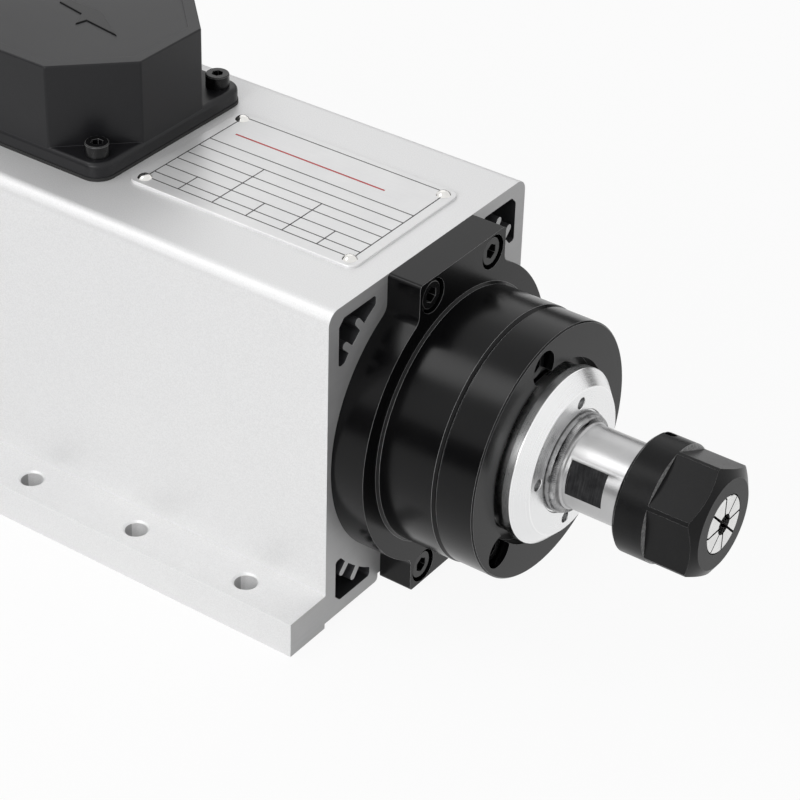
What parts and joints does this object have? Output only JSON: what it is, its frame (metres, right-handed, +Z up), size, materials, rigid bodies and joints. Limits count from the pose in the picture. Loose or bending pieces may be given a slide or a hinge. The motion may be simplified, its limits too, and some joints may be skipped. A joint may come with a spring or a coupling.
{
  "type": "motor spindle",
  "caption": "Foot-mounted air-cooled electric spindle: finned extruded housing, black bearing nose, slinger disc, collet and collet nut, terminal box and rear fan cowl.",
  "frame": {"origin": "middle of the foot hole pattern, on the plane the feet stand on", "axes": "+X along the spindle axis towards the tool, +Z up, +Y to the left when looking along +X"},
  "size_m": [0.2951, 0.1222, 0.132],
  "materials": {
    "silver_anodised": "blasted and clear anodised",
    "black_anodised": "black hard-anodised aluminium, satin",
    "black_screws": "black oxide",
    "bearing_steel": "ground",
    "ball_steel": "polished",
    "ball_cage_plastic": "brown phenolic",
    "lamination_steel": "stamped sheets",
    "winding_copper": "lacquered copper",
    "spring_steel": "bright",
    "black_plastic": "fine grained",
    "box_plastic": "satin moulded",
    "block_plastic": "moulded",
    "seal_rubber": "matt",
    "terminal_brass": "plain",
    "lead_insulation": "woven sleeve",
    "gland_plastic": "moulded",
    "plate_aluminium": "brushed",
    "rivet_nickel": "bright nickel",
    "shaft_steel": "ground and turned",
    "cage_aluminium": "die cast",
    "bright_aluminium": "fine turned",
    "fan_plastic": "moulded",
    "zinc_steel": "zinc plated",
    "collet_steel": "ground",
    "black_oxide_steel": "black oxide, satin"
  },
  "bodies": {
    "stator_body": {"motor_housing": "silver_anodised", "front_flange": "black_anodised", "front_flange_screws": "black_screws", "front_cap": "black_anodised", "front_cap_screws": "black_screws", "front_bearing_outer_rings": "bearing_steel", "front_bearing_seals": "seal_rubber", "rear_bearing_outer_ring": "bearing_steel", "stator_core": "lamination_steel", "stator_windings": "winding_copper", "rear_bearing_cover": "black_anodised", "rear_cover_screws": "black_screws", "preload_spring": "spring_steel", "fan_cowl": "black_plastic", "fan_cowl_screws": "black_screws", "terminal_box": "box_plastic", "terminal_box_gasket": "seal_rubber", "terminal_box_screws": "black_screws", "terminal_block": "block_plastic", "terminal_studs": "terminal_brass", "terminal_nuts": "terminal_brass", "winding_leads": "lead_insulation", "gland_body": "gland_plastic", "gland_seal": "seal_rubber", "gland_nut": "gland_plastic", "gland_locknut": "gland_plastic", "nameplate": "plate_aluminium", "nameplate_rivets": "rivet_nickel"},
    "rotor_body": {"spindle_shaft": "shaft_steel", "rotor_core": "lamination_steel", "rotor_cage": "cage_aluminium", "front_bearing_inner_rings": "bearing_steel", "rear_bearing_inner_ring": "bearing_steel", "slinger_disc": "bright_aluminium", "slinger_stop_ring": "spring_steel", "cooling_fan": "fan_plastic", "fan_nut": "zinc_steel"},
    "front_cage_body": {"front_bearing_cages": "ball_cage_plastic", "front_bearing_balls": "ball_steel"},
    "rear_cage_body": {"rear_bearing_cage": "ball_cage_plastic", "rear_bearing_balls": "ball_steel"},
    "collet_body": {"collet": "collet_steel"},
    "nut_body": {"collet_nut": "black_oxide_steel"}
  },
  "joints": [
    {"name": "spindle_spin", "type": "hinge", "parent": "stator_body", "child": "rotor_body", "pos_m": [0, 0, 0.052], "axis": [1, 0, 0], "continuous": true},
    {"name": "front_cage_spin", "type": "hinge", "parent": "stator_body", "child": "front_cage_body", "pos_m": [0, 0, 0.052], "axis": [1, 0, 0], "continuous": true},
    {"name": "rear_cage_spin", "type": "hinge", "parent": "stator_body", "child": "rear_cage_body", "pos_m": [0, 0, 0.052], "axis": [1, 0, 0], "continuous": true},
    {"name": "collet_travel", "type": "slide", "parent": "rotor_body", "child": "collet_body", "axis": [1, 0, 0], "range_m": [0, 0.0105]},
    {"name": "nut_turn", "type": "hinge", "parent": "collet_body", "child": "nut_body", "pos_m": [0.1605, 0, 0.052], "axis": [1, 0, 0], "range_deg": [0, 2520]}
  ],
  "couplings": [
    {"joint": "nut_turn", "follows": "collet_travel", "rad_per_m": 4188.8},
    {"joint": "front_cage_spin", "follows": "spindle_spin", "ratio": 0.41389},
    {"joint": "rear_cage_spin", "follows": "spindle_spin", "ratio": 0.40769}
  ]
}
